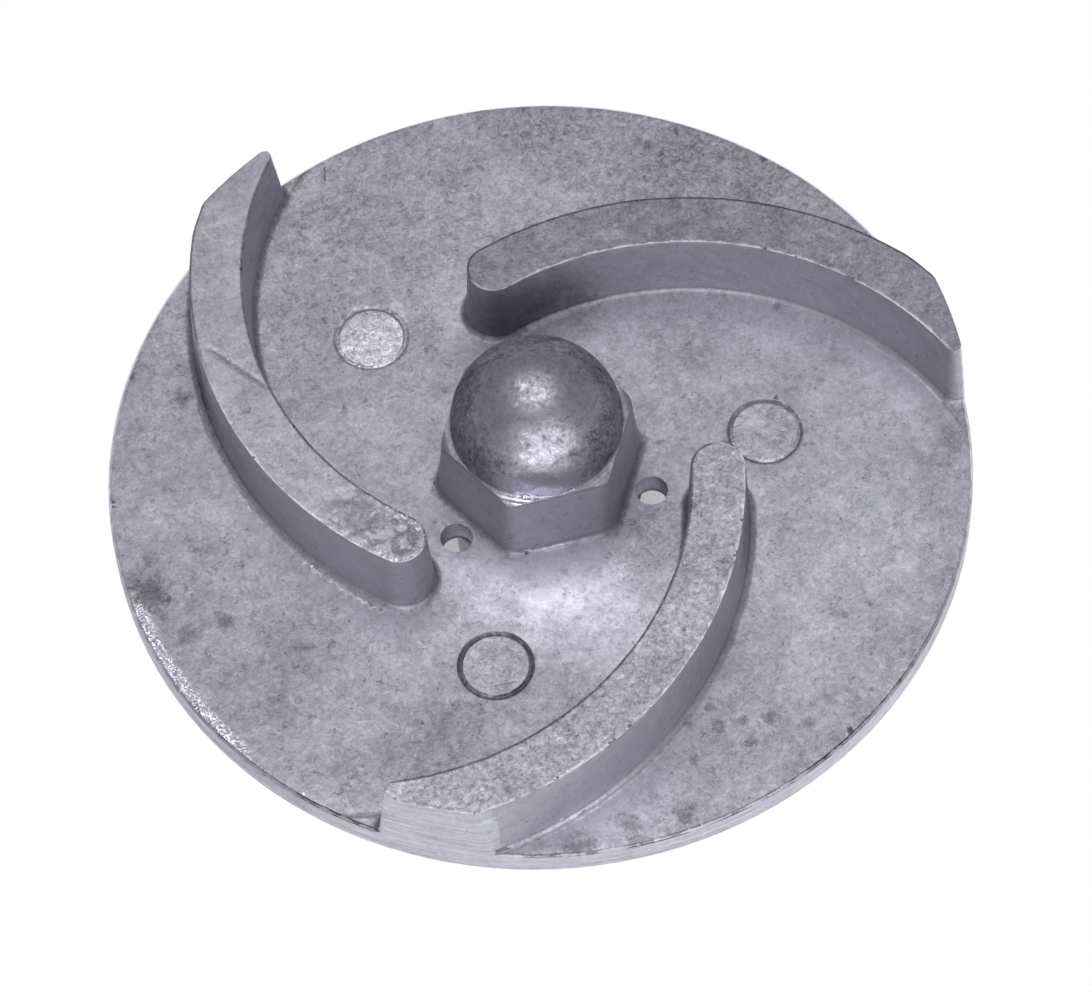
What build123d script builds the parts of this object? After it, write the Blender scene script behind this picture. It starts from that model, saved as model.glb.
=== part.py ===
"""Pump impeller: a one-piece aluminium die casting with three swept vanes.

Semi-open impeller of a small engine-driven water pump. A flat disc carries
three drafted vanes on its front face. A domed hexagon in the middle closes
the shaft bore and takes the spanner that screws the impeller on and off.
A hub behind the disc holds the tapped blind bore and seats on the shaft's
shoulder. The outside diameter is turned after casting, so the vane ends and
the rim of the disc are one cylinder.

Frame: origin on the shaft axis at the hub's end face, +Z towards the water
inlet, so that the casting stands on its hub with the vanes up. Millimetres.
"""
import os
from math import acos, atan2, cos, degrees, hypot, radians, tan

from build123d import *

# Disc
outer_diameter = 112.0
disc_thickness = 3.8
rim_edge_break = 0.4

# Hub behind the disc
hub_diameter = 23.0
hub_length = 14.0
hub_draft = 1.0
hub_root_bevel = 1.6
hub_end_chamfer = 0.8

# Blind shaft bore, at the wall that its thread is cut in
bore_diameter = 14.5
bore_depth = 26.0
bore_mouth_chamfer = 1.2
drill_point_angle = 118.0

# Vanes: each is an arc of constant width with a round nose
vane_count = 3
vane_height = 11.0
vane_top_width = 6.9
vane_draft = 3.0
vane_arc_radius = 46.2
nose_circle_radius = 24.0
vane_inlet_angle = 18.3
first_nose_angle = 90.0
vane_foot_fillet = 1.0

# Vane ends are cast a little past the rim, with round corners, and then turned
turning_allowance = 0.6
vane_tip_radius = 1.6
vane_heel_radius = 4.0

# Domed hexagon
hex_across_flats = 24.0
hex_height = 11.3
hex_draft = 4.5
hex_corner_radius = 3.0
hex_foot_fillet = 0.8

# Balance holes, one just inside each vane's nose and drilled a degree ahead of it
balance_hole_diameter = 4.2
balance_hole_circle = 30.0
first_hole_angle = 91.0

# Marks of the ejector pins: each leaves a round pad inside a vee groove
pin_mark_diameter = 10.0
pin_mark_circle = 59.2
pin_mark_angles = (124.8, 245.6, 355.2)
pin_groove_width = 0.8
pin_groove_depth = 0.5

# Worked out from the sizes above
outer_radius = outer_diameter / 2
disc_top = hub_length + disc_thickness
hub_end_radius = hub_diameter / 2
hub_root_radius = hub_end_radius + (hub_length - hub_root_bevel) * tan(radians(hub_draft))
vane_foot_width = vane_top_width + 2 * vane_height * tan(radians(vane_draft))
hex_reach = hex_across_flats / 2 / cos(radians(30)) + hex_foot_fillet
dome_radius = hex_across_flats / 2 - hex_height * tan(radians(hex_draft))
bore_radius = bore_diameter / 2
drill_point_length = bore_radius / tan(radians(drill_point_angle / 2))
upwards = Vector(0, 0, 1)
sliver = 0.01


def reach(shape):
    """Distance from the shaft axis of a point, or of the middle of an edge."""
    middle = shape @ 0.5 if isinstance(shape, Edge) else shape
    return hypot(middle.X, middle.Y)


def past_rim(shape):
    """True for a point or an edge that lies outside the finished rim."""
    return reach(shape) > outer_radius + sliver


def on_rim(edge):
    """True for an edge that runs round the finished rim."""
    return abs(reach(edge) - outer_radius) < sliver


def is_upright(edge):
    """True for an edge that runs the whole height of a vane."""
    return abs(edge.bounding_box().size.Z - vane_height) < sliver


def upright_plane(centre, distance, bearing):
    """Upright plane at a distance and bearing from a centre, with its X outwards and its Y upwards."""
    outwards = Vector(1, 0).rotate(Axis.Z, bearing)
    return Plane(origin=centre + outwards * distance, x_dir=outwards, z_dir=outwards.cross(upwards))


def in_disc_face(edge):
    """True for an edge that lies in the plane of the disc's front face."""
    box = edge.bounding_box()
    return box.size.Z < sliver and abs(box.min.Z - disc_top) < sliver


# The nose stands on its own circle. The arc's centre lies inwards of the nose, off
# the line to the shaft axis by the inlet angle.
nose_centre = Vector(nose_circle_radius, 0, disc_top).rotate(Axis.Z, first_nose_angle)
nose_bearing = first_nose_angle + vane_inlet_angle
arc_centre = nose_centre - Vector(vane_arc_radius, 0).rotate(Axis.Z, nose_bearing)

# The arc crosses the rim at the third corner of a triangle whose other corners are
# the arc's centre and the shaft axis, and is cast a little further than that
axis_distance = hypot(arc_centre.X, arc_centre.Y)
axis_bearing = degrees(atan2(-arc_centre.Y, -arc_centre.X))
rim_cosine = (axis_distance**2 + vane_arc_radius**2 - outer_radius**2) / (2 * axis_distance * vane_arc_radius)
overrun = degrees(2 * vane_foot_width / vane_arc_radius)
end_bearing = axis_bearing - degrees(acos(rim_cosine)) - overrun

os.makedirs("parts", exist_ok=True)

# The first vane, as cast. Its drafted section is turned about the arc's centre, and
# half of that section about the nose's centre. The far end is cut off round the rim
# and gets a tight corner at the tip and a slack one at the heel.
with BuildPart() as vane:
    with BuildSketch(upright_plane(arc_centre, vane_arc_radius, end_bearing)):
        with BuildLine():
            Polyline(
                (-vane_foot_width / 2, 0),
                (vane_foot_width / 2, 0),
                (vane_top_width / 2, vane_height),
                (-vane_top_width / 2, vane_height),
                close=True,
            )
        make_face()
    revolve(axis=Axis(arc_centre, upwards), revolution_arc=nose_bearing - end_bearing)
    with BuildSketch(upright_plane(nose_centre, 0, nose_bearing)):
        with BuildLine():
            Polyline(
                (0, 0),
                (vane_foot_width / 2, 0),
                (vane_top_width / 2, vane_height),
                (0, vane_height),
                close=True,
            )
        make_face()
    revolve(axis=Axis(nose_centre, upwards))
    with BuildSketch(Plane.XY.offset(disc_top)):
        Circle(outer_radius + turning_allowance)
    extrude(amount=vane_height, mode=Mode.INTERSECT)
    end_corners = vane.edges().filter_by(past_rim).filter_by(is_upright).sort_by_distance(arc_centre)
    fillet(end_corners[0], vane_tip_radius)
    end_corners = vane.edges().filter_by(past_rim).filter_by(is_upright).sort_by_distance(arc_centre)
    fillet(end_corners[-1], vane_heel_radius)

with BuildPart() as impeller:
    # Disc and hub, as one section turned about the shaft axis
    with BuildSketch(Plane.XZ):
        with BuildLine():
            Polyline(
                (0, 0),
                (hub_end_radius, 0),
                (hub_root_radius, hub_length - hub_root_bevel),
                (hub_root_radius + hub_root_bevel, hub_length),
                (outer_radius, hub_length),
                (outer_radius, disc_top),
                (0, disc_top),
                close=True,
            )
        make_face()
    revolve(axis=Axis.Z)
    chamfer(impeller.edges().group_by(Axis.Z)[0], hub_end_chamfer)

    # Hexagon with a flat to each balance hole, and the dome that its flats run into
    with BuildSketch(Plane.XY.offset(disc_top)):
        hexagon = RegularPolygon(hex_across_flats / 2, 6, major_radius=False, rotation=first_hole_angle - 90)
        fillet(hexagon.vertices(), hex_corner_radius)
    extrude(amount=hex_height, taper=hex_draft)
    with Locations((0, 0, disc_top + hex_height)):
        Sphere(dome_radius, arc_size1=0, align=(Align.CENTER, Align.CENTER, Align.MIN))

    # Vanes, all alike
    with PolarLocations(0, vane_count):
        add(vane.part)

    # The outside diameter is turned, which cuts the vane ends flush with the rim
    with BuildSketch(Plane.XY.offset(disc_top)):
        Circle(outer_radius + 2 * turning_allowance)
        Circle(outer_radius, mode=Mode.SUBTRACT)
    extrude(amount=vane_height, mode=Mode.SUBTRACT)

    # Cast fillets round the feet of the hexagon and the vanes
    hex_feet = impeller.edges().filter_by(in_disc_face).filter_by(lambda edge: reach(edge) < hex_reach)
    fillet(hex_feet, hex_foot_fillet)
    beyond_hex = impeller.edges().filter_by(in_disc_face).filter_by(lambda edge: reach(edge) > hex_reach)
    fillet(beyond_hex.filter_by(on_rim, reverse=True), vane_foot_fillet)

    # The turned rim's front edge is broken all the way round, with the vane ends' corners
    chamfer(impeller.edges().filter_by(in_disc_face).filter_by(on_rim), rim_edge_break)

    # Vee grooves that the ejector pins leave round their pads in the disc's face
    for angle in pin_mark_angles:
        pin_centre = Vector(pin_mark_circle / 2, 0, disc_top).rotate(Axis.Z, angle)
        with BuildSketch(upright_plane(pin_centre, pin_mark_diameter / 2, angle)):
            with BuildLine():
                Polyline(
                    (0, 0),
                    (-pin_groove_width, 0),
                    (-pin_groove_width / 2, -pin_groove_depth),
                    close=True,
                )
            make_face()
        revolve(axis=Axis(pin_centre, upwards), mode=Mode.SUBTRACT)

    # Balance holes, drilled through the disc beside the hub
    with Locations(Plane.XY.offset(disc_top)):
        with PolarLocations(balance_hole_circle / 2, vane_count, start_angle=first_hole_angle):
            Hole(balance_hole_diameter / 2, depth=disc_thickness)

    # Shaft bore, drilled from the hub's end and stopped inside the hexagon
    with BuildSketch(Plane.XZ):
        with BuildLine():
            Polyline(
                (0, 0),
                (bore_radius + bore_mouth_chamfer, 0),
                (bore_radius, bore_mouth_chamfer),
                (bore_radius, bore_depth),
                (0, bore_depth + drill_point_length),
                close=True,
            )
        make_face()
    revolve(axis=Axis.Z, mode=Mode.SUBTRACT)

impeller.part.label = "impeller"
export_step(impeller.part, "parts/impeller.step")

print("impeller volume", round(impeller.part.volume), "mm3")
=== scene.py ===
# %% [markdown]
# # A cast pump impeller, finished in Blender
# A small water pump throws its water out with this wheel: a flat disc, three
# swept vanes and a domed hexagon, all one aluminium die casting. The solid model
# comes in as a fixed frame, and this notebook gives it the skin of a used
# casting. The first step loads the frame and keeps the box that it fills, so
# that the finished model can be measured against it at the end.

# %% Load the frame
import bpy
import bmesh
import math
import numpy as np
from mathutils import Matrix, Vector, noise


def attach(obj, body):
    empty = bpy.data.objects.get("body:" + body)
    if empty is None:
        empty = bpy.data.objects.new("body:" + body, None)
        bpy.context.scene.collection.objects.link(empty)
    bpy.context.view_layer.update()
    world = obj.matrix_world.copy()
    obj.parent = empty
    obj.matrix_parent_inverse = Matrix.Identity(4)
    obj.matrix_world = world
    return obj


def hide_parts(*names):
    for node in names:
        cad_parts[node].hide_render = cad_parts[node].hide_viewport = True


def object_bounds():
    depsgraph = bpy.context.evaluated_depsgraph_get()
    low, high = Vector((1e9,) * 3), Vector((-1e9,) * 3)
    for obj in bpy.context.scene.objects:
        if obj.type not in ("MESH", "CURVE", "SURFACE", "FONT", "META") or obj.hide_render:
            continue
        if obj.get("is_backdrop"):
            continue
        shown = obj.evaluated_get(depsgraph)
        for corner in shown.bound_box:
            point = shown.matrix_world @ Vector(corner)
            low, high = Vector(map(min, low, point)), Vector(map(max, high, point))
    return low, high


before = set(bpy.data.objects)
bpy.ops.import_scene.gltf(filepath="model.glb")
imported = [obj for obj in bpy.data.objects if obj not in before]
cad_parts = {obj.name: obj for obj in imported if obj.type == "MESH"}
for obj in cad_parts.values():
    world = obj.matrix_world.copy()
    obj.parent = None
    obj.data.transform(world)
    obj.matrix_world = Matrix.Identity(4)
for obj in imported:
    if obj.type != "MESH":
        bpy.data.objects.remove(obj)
solid_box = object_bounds()

# %% [markdown]
# ## Sizes to work from
# The finish follows the parts of the wheel, so the places of those parts are
# named here once. They are in millimetres, seen from above, with the shaft axis
# at 0, 0 and heights from the hub's end. Blender works in metres, so every
# place is divided by a thousand when it is used.

# %% Sizes of the wheel
MM = 0.001
rim_radius = 56.0
disc_underside = 14.0
disc_top = 17.8
vane_top = 28.8
hexagon_top = 29.1
bore_radius = 7.25
bore_depth = 26.0
arc_radius = 46.2
nose_circle = 24.0
inlet_angle = 18.3
nose_angles = (90.0, 210.0, 330.0)
top_half_width = 3.45
foot_half_width = 4.03
pad_radius = 5.0
pad_circle = 29.6
pad_angles = (124.8, 245.6, 355.2)
balance_circle = 15.0
balance_angles = (91.0, 211.0, 331.0)
balance_radius = 2.1


def on_circle(radius, angle):
    """A point seen from above, at a radius and an angle in degrees."""
    return np.array((radius * math.cos(math.radians(angle)), radius * math.sin(math.radians(angle))))


def add_object(name, data):
    """A new object, put in the scene."""
    made = bpy.data.objects.new(name, data)
    bpy.context.scene.collection.objects.link(made)
    return made


pads = [on_circle(pad_circle, angle) for angle in pad_angles]
balance_holes = [on_circle(balance_circle, angle) for angle in balance_angles]
print("pads at", [p.round(1).tolist() for p in pads])

# %% [markdown]
# ## The camera
# The wheel lies face up and is seen from high in front, through a long lens that
# keeps its ellipse nearly true. A camera could be dragged into place, but five
# named values are easier to read and to change: what it looks at, how far off it
# is, how high, from which side, and how far it is rolled.

# %% Camera
camera_target = Vector((-0.28, -4.63, disc_top)) * MM
camera_distance = 0.69336
camera_height = math.radians(60.574)
camera_bearing = math.radians(10.190)
camera_roll = math.radians(-3.927)

forward = Vector((math.sin(camera_bearing), math.cos(camera_bearing), 0)) * math.cos(camera_height)
forward.z = -math.sin(camera_height)
level = forward.cross(Vector((0, 0, 1))).normalized()
right = (Matrix.Rotation(camera_roll, 3, -forward) @ level).normalized()
up = right.cross(forward)
lens = bpy.data.cameras.new("camera")
lens.sensor_width = 36.0
lens.lens = 177.115
lens.clip_start = 0.01
lens.clip_end = 60.0
camera = add_object("camera", lens)
camera.matrix_world = Matrix((right, up, -forward)).transposed().to_4x4()
camera.matrix_world.translation = camera_target - forward * camera_distance
bpy.context.scene.camera = camera
bpy.context.scene.view_settings.view_transform = "Standard"
print("camera", [round(v, 4) for v in camera.matrix_world.translation], "right", right, "up", up)

# %% [markdown]
# ## A skin with enough points to shape
# The frame's own mesh is exact but has few points on its flat faces, and its
# edges are knife sharp. A copy of it is merged into one closed skin, the points
# that carry no shape are dissolved, and every sharp edge gets a narrow round,
# because no cast or turned edge is truly sharp and the round is what catches
# the light. A bevel modifier does that well and keeps the skin closed.

# %% Merge, dissolve and round the edges
skin = bmesh.new()
skin.from_mesh(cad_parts["impeller"].data)
bmesh.ops.remove_doubles(skin, verts=skin.verts, dist=1e-6)
bmesh.ops.dissolve_limit(skin, angle_limit=math.radians(0.5), verts=skin.verts, edges=skin.edges)
plain = bpy.data.meshes.new("plain skin")
skin.to_mesh(plain)
skin.free()
rounded = add_object("rounded skin", plain)
edge_round = rounded.modifiers.new("edge round", "BEVEL")
edge_round.width = 0.18 * MM
edge_round.segments = 2
edge_round.limit_method = "ANGLE"
edge_round.angle_limit = math.radians(30)
edge_round.miter_outer = "MITER_ARC"
graph = bpy.context.evaluated_depsgraph_get()
rounded_mesh = bpy.data.meshes.new_from_object(rounded.evaluated_get(graph))
bpy.data.objects.remove(rounded)
print("rounded skin", len(rounded_mesh.vertices), "points")

# %% [markdown]
# ## Cutting the skin into small cells
# A casting is never quite flat: it is wavy, dented and rough. Moving points can
# only show that where there are points, so the front of the skin is cut by
# evenly spaced planes, like a cake cut both ways. A remesh would also give
# points, but it would lose the crisp grooves and edges. The tops of the vanes
# carry the most marks and are cut twice as fine.

# %% Cut cells
skin = bmesh.new()
skin.from_mesh(rounded_mesh)
bmesh.ops.remove_doubles(skin, verts=skin.verts, dist=1e-6)
bmesh.ops.triangulate(skin, faces=skin.faces)


def cut_cells(mesh, wanted, axis, spacing, first, last):
    """Cut the wanted faces of a mesh by planes at an even spacing along an axis."""
    faces = [face for face in mesh.faces if wanted(face)]
    geometry = list({v for f in faces for v in f.verts} | {e for f in faces for e in f.edges} | set(faces))
    normal = Vector((0, 0, 0))
    normal[axis] = 1
    for place in np.arange(first, last, spacing):
        cut = bmesh.ops.bisect_plane(mesh, geom=geometry, plane_co=normal * place, plane_no=normal, dist=1e-6)
        geometry = cut["geom"]


def on_front(face):
    """True for a face on the front of the disc or above it."""
    return face.calc_center_median().z > 16.5 * MM


def on_vane_top(face):
    """True for a face on top of a vane."""
    middle = face.calc_center_median()
    return middle.z > 28.6 * MM and face.normal.z > 0.7 and middle.xy.length > 17.0 * MM


def on_hexagon_shoulder(face):
    """True for a face near the top corners of the hexagon."""
    middle = face.calc_center_median()
    return 10.9 * MM < middle.xy.length < 15.0 * MM and 27.2 * MM < middle.z < 29.6 * MM


def in_bore(face):
    """True for a face of the bore's long wall."""
    middle = face.calc_center_median()
    return abs(middle.xy.length - bore_radius * MM) < 0.3 * MM and abs(face.normal.z) < 0.3


cell = 0.85
first_cut = -55.87
first_cut_between = -55.44
for axis in (0, 1):
    cut_cells(skin, on_front, axis, cell * MM, first_cut * MM, 56 * MM)
cut_cells(skin, on_front, 2, 1.4 * MM, 19.1 * MM, 28 * MM)
for axis in (0, 1):
    cut_cells(skin, on_vane_top, axis, cell * MM, first_cut_between * MM, 56 * MM)
for axis, first, last in ((0, -13.9, 14.0), (1, -13.9, 14.0), (2, 27.5, 29.1)):
    cut_cells(skin, on_hexagon_shoulder, axis, 0.4 * MM, first * MM, last * MM)
cut_cells(skin, in_bore, 2, 23.6 * MM, 1.6 * MM, 26 * MM)
bmesh.ops.triangulate(skin, faces=skin.faces)
bmesh.ops.remove_doubles(skin, verts=skin.verts, dist=1e-6)
skin_mesh = bpy.data.meshes.new("impeller skin")
skin.to_mesh(skin_mesh)
skin.free()
print("cut skin", len(skin_mesh.vertices), "points", len(skin_mesh.polygons), "triangles")

# %% [markdown]
# ## Places along the vanes
# Wear, painted highlights and painted shade run along the edges and feet of the
# vanes, so the finish has to know where it is on a vane. Every point gets two
# numbers: its run, measured from the nose along the vane's arc, and its offset
# from the middle of the vane, outwards positive. Past the nose both are plain
# distances from the nose's centre. They can then be used for shape and, as a UV
# map, for colour.

# %% Run and offset
def turned(points, angle):
    """Points seen from above, turned about the shaft axis by an angle in degrees."""
    c, s = math.cos(math.radians(angle)), math.sin(math.radians(angle))
    return points @ np.array(((c, s), (-s, c)))


nose_bearing = nose_angles[0] + inlet_angle
outwards = on_circle(1.0, nose_bearing)
along = np.array((outwards[1], -outwards[0]))
nose_centre = on_circle(nose_circle, nose_angles[0])
arc_centre = nose_centre - arc_radius * outwards


def run_and_offset(points, vane):
    """Run and offset of points, in millimetres, on one of the three vanes."""
    local = turned(points[:, :2], nose_angles[0] - nose_angles[vane])
    spoke = local - arc_centre
    bearing = np.degrees(np.arctan2(spoke[:, 1], spoke[:, 0]))
    run = np.radians(nose_bearing - bearing) * arc_radius
    offset = np.hypot(spoke[:, 0], spoke[:, 1]) - arc_radius
    from_nose = local - nose_centre
    before = (run < 0) | (from_nose @ along < 0) & (np.hypot(from_nose[:, 0], from_nose[:, 1]) < 30)
    run = np.where(before, from_nose @ along, run)
    offset = np.where(before, from_nose @ outwards, offset)
    return run, np.where(run > 95.0, 60.0, offset)


def from_middle(run, offset):
    """Distance from a vane's middle line."""
    return np.hypot(np.minimum(run, 0), offset)


def mesh_points(mesh):
    """The points of a mesh in millimetres, and their normals."""
    points = np.empty(len(mesh.vertices) * 3)
    normals = np.empty(len(mesh.vertices) * 3)
    mesh.vertices.foreach_get("co", points)
    mesh.vertex_normals.foreach_get("vector", normals)
    return points.reshape(-1, 3) / MM, normals.reshape(-1, 3)


points, normals = mesh_points(skin_mesh)
places = [run_and_offset(points, vane) for vane in range(3)]
reaches = np.array([from_middle(*place) for place in places])
nearest = reaches.argmin(axis=0)
run = np.choose(nearest, [place[0] for place in places])
offset = np.choose(nearest, [place[1] for place in places])
radius = np.hypot(points[:, 0], points[:, 1])
height = points[:, 2]
print("points nearest to each vane", np.bincount(nearest).tolist())

# %% [markdown]
# ## The shape of wear
# The die leaves the metal gently wavy. Handling has dented the nose of one vane,
# a cold flow mark crosses its top, another vane's top is rough as if the skin
# never closed, and small nicks run along the edges. Each mark is a sum of
# simple terms, worked out for all points at once, in millimetres of depth. The
# points then move along their normals. Nothing may move outwards on the rim,
# the top of the dome or the hub's end, because they set the wheel's size.

# %% Waves and grain
def cast_noise(size, seed, octaves=3):
    """Smooth noise of about -1 to 1 at every point, with waves of a size in millimetres."""
    shift = Vector((seed * 17.3, seed * 5.1, seed * 9.7))
    values = [noise.fractal(Vector(p) / size + shift, 0.8, 2.0, octaves) for p in points]
    return np.array(values)


def fade(values, start, end):
    """1 at the start value, 0 at the end value, smooth between."""
    t = np.clip((values - start) / (end - start), 0, 1)
    return 1 - t * t * (3 - 2 * t)


def patch(x, y, size):
    """1 at a place seen from above, falling to 0 at a size around it."""
    return fade(np.hypot(points[:, 0] - x, points[:, 1] - y), 0, size)


def along_line(x0, y0, x1, y1, width):
    """1 on a line seen from above, falling to 0 at a width beside it and past its ends."""
    start = np.array((x0, y0))
    line = np.array((x1, y1)) - start
    t = np.clip((points[:, :2] - start) @ line / (line @ line), 0, 1)
    away = points[:, :2] - start - t[:, None] * line
    return fade(np.hypot(away[:, 0], away[:, 1]), 0, width)


broad = cast_noise(9.0, 1)
middling = cast_noise(2.6, 2)
fine = cast_noise(0.9, 3, 2)
as_cast = (height > disc_top - 0.1) & (radius < rim_radius - 0.25)
on_top = (height > vane_top - 0.25) & (height < vane_top + 0.1) & (radius > 18)
depth = np.where(as_cast, 0.045 * broad + 0.014 * middling + 0.004 * fine, 0.0)
print("waves from", depth.min().round(3), "to", depth.max().round(3), "mm")

# %% Marks on the vanes
rough_vane = on_top & (nearest == 2)
depth = depth + np.where(rough_vane, 0.030 * fine + 0.022 * middling, 0.0)

battered = on_top & (nearest == 1)
nose_side = fade(run, 2.0, 16.0)
dents = np.minimum(middling + 0.15, 0) * 0.22 + np.minimum(fine, 0) * 0.10
flow_mark = along_line(-38.4, 21.6, -32.3, 14.0, 0.55)
second_flow = along_line(-29.0, 4.5, -25.0, 3.2, 0.45) + along_line(-24.6, -3.6, -21.0, -5.6, 0.4)
depth = depth + np.where(battered, nose_side * dents - 0.12 * flow_mark - 0.08 * second_flow, 0.0)

nicks = (
    (42.5, 13.7, 0.9, 0.28), (21.5, 26.6, 0.8, 0.10), (31.0, 24.2, 0.7, 0.12), (6.5, 22.2, 0.8, 0.12),
    (-26.2, -4.6, 1.3, 0.16), (-21.5, -9.0, 1.2, 0.14), (16.1, -16.5, 0.9, 0.25), (-18.6, -52.3, 1.0, 0.2),
)
for x, y, size, deep in nicks:
    depth = depth - np.where(height > vane_top - 1.2, deep * patch(x, y, size), 0.0)
print("deepest mark", depth.min().round(2), "mm")

# %% Pads, ends and the bore
shaped = points + normals * depth[:, None]

for pad, (tilt_x, tilt_y, sink) in zip(
    pads, ((0.010, 0.012, 0.00), (0.002, -0.008, 0.03), (-0.004, 0.010, 0.02))
):
    away = points[:, :2] - pad
    inside = (np.hypot(away[:, 0], away[:, 1]) < pad_radius - 0.75) & (abs(height - disc_top) < 0.1)
    shaped[inside, 2] += (away @ np.array((tilt_x, tilt_y)) - sink)[inside]

for pad, filled in zip(pads, (0.85, 0.2, 0.8)):
    away = np.hypot(points[:, 0] - pad[0], points[:, 1] - pad[1])
    groove = (away < pad_radius + 0.05) & (height < disc_top - 0.02) & (height > disc_underside + 0.5)
    shaped[groove, 2] += filled * (disc_top - height[groove])

corner = np.clip((radius - 11.55) / 0.95, 0, 1) ** 2 * np.clip((height - 27.3) / (hexagon_top - 27.3), 0, 1)
shaped[:, 2] -= np.where((radius < 15) & (height > 27.3), 0.65 * corner, 0.0)

lean = np.clip((height - disc_top - 1.2) / (vane_top - disc_top - 1.2), 0, 1) * 0.48
leaned = (radius > rim_radius - 2.5) & (height > disc_top + 1.0) & (nearest != 2)
shrink = np.where(leaned, 1 - lean * fade(rim_radius - radius, 0.0, 2.5) / radius, 1.0)
shaped[:, :2] *= shrink[:, None]

thread_root_radius = 8.1
in_thread = (abs(radius - bore_radius) < 0.05) & (height > 1.5) & (height < bore_depth - 0.3)
shaped[in_thread, :2] *= (thread_root_radius / radius[in_thread])[:, None]

spread = np.hypot(shaped[:, 0], shaped[:, 1])
limit = np.minimum(1.0, rim_radius / np.maximum(spread, 1e-6))
shaped[:, :2] *= limit[:, None]
shaped[:, 2] = np.clip(shaped[:, 2], 0.0, points[:, 2].max())
skin_mesh.vertices.foreach_set("co", (shaped * MM).ravel())
skin_mesh.update()
print("moved points", int((abs(shaped - points).max(axis=1) > 1e-6).sum()))

# %% [markdown]
# ## Which metal is where
# One casting still shows several surfaces: the skin as it left the die, the worn
# tops of the vanes, the rubbed dome, the turned rim, the ejector pads, the
# drilled holes and the back that nobody touches. Each face of the skin is given
# one of them by its place and by the way that it faces.

# %% Sort the faces
surfaces = ("cast face", "vane tops", "dome", "turned rim", "ejector pads", "drilled", "back")
count = len(skin_mesh.polygons)
centres = np.empty(count * 3)
facing = np.empty(count * 3)
skin_mesh.polygons.foreach_get("center", centres)
skin_mesh.polygons.foreach_get("normal", facing)
centres = centres.reshape(-1, 3) / MM
facing = facing.reshape(-1, 3)
face_radius = np.hypot(centres[:, 0], centres[:, 1])
face_height = centres[:, 2]
face_places = [run_and_offset(centres, vane) for vane in range(3)]
face_reach = np.array([from_middle(*place) for place in face_places])
face_vane = face_reach.argmin(axis=0)

zone = np.zeros(count, dtype=int)
zone[(face_height > vane_top - 0.35) & (face_radius > 17) & (facing[:, 2] > 0.3)] = 1
zone[(face_radius < 15) & (face_height > hexagon_top - 0.35)] = 2
outer = (face_radius > rim_radius - 1.0) & (
    np.sum(facing[:, :2] * centres[:, :2], axis=1) / face_radius > 0.55
)
zone[outer] = 3
for pad in pads:
    near = np.hypot(centres[:, 0] - pad[0], centres[:, 1] - pad[1]) < pad_radius + 0.02
    zone[near & (abs(face_height - disc_top) < 0.6)] = 4
for hole in balance_holes:
    near = np.hypot(centres[:, 0] - hole[0], centres[:, 1] - hole[1]) < balance_radius + 0.03
    zone[near] = 5
zone[(face_height < disc_underside + 0.2) & (zone != 3) & (zone != 5)] = 6
zone[(face_radius < bore_radius + 1.0) & (face_height < hexagon_top - 0.5)] = 5
skin_mesh.polygons.foreach_set("material_index", zone)
print("faces of each surface", dict(zip(surfaces, np.bincount(zone, minlength=7).tolist())))

# %% Run and offset as a UV map
corners = np.empty(len(skin_mesh.loops), dtype=int)
skin_mesh.loops.foreach_get("vertex_index", corners)
corner_vane = np.repeat(face_vane, 3)
corner_run = np.choose(corner_vane, [place[0][corners] for place in places])
corner_offset = np.choose(corner_vane, [place[1][corners] for place in places])
vane_map = skin_mesh.uv_layers.new(name="along vane")
vane_map.data.foreach_set("uv", np.column_stack((corner_run, corner_offset)).ravel() * MM)
which_vane = skin_mesh.attributes.new("vane", "FLOAT", "FACE")
which_vane.data.foreach_set("value", face_vane.astype(float))
hexagon_angles = np.radians(np.arange(6) * 60 + 31)
hexagon_foot = np.max(
    [points[:, 0] * math.cos(a) + points[:, 1] * math.sin(a) for a in hexagon_angles], axis=0
)
hexagon_reach = skin_mesh.attributes.new("hexagon reach", "FLOAT", "POINT")
hexagon_reach.data.foreach_set("value", hexagon_foot * MM)
skin_mesh.set_sharp_from_angle(angle=math.radians(35))
print("runs up to", corner_run.max().round(1), "mm")

# %% [markdown]
# ## Small tools for writing materials
# A material is a graph of nodes. Written out by hand, each node takes four or
# five lines, so a few short helpers make one node each and give back its output,
# and a graph then reads like a sum.

# %% Node helpers
def feed(tree, socket, value):
    """Link an output to a socket, or set the socket to a plain value."""
    if isinstance(value, bpy.types.NodeSocket):
        tree.links.new(value, socket)
    else:
        socket.default_value = value


def sums(tree, operation, a, b=0.0, c=0.0, clamp=False):
    """A Math node's output."""
    node = tree.nodes.new("ShaderNodeMath")
    node.operation = operation
    node.use_clamp = clamp
    for socket, value in zip(node.inputs, (a, b, c)):
        feed(tree, socket, value)
    return node.outputs[0]


def minus(tree, a, b):
    """The difference of two values."""
    return sums(tree, "SUBTRACT", a, b)


def centred(tree, value):
    """A noise of 0 to 1 as a value round 0."""
    return sums(tree, "SUBTRACT", value, 0.5)


def inverse(tree, mask):
    """A mask that is 1 where the given one is 0."""
    return sums(tree, "SUBTRACT", 1.0, mask)


def apart(tree, a, b):
    """How far two values are apart, always positive."""
    return sums(tree, "ABSOLUTE", minus(tree, a, b))


def times_plus(tree, a, b, c):
    """a times b, plus c."""
    return sums(tree, "MULTIPLY_ADD", a, b, c)


def chain(operation):
    """A helper that joins any number of values by one operation."""
    def joined(tree, first, *others):
        for other in others:
            first = sums(tree, operation, first, other)
        return first
    return joined


times = chain("MULTIPLY")
plus = chain("ADD")
most = chain("MAXIMUM")


def hypotenuse(tree, a, b):
    """The length of a slanting line from its two legs."""
    return sums(tree, "SQRT", times_plus(tree, a, a, times(tree, b, b)))


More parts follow.
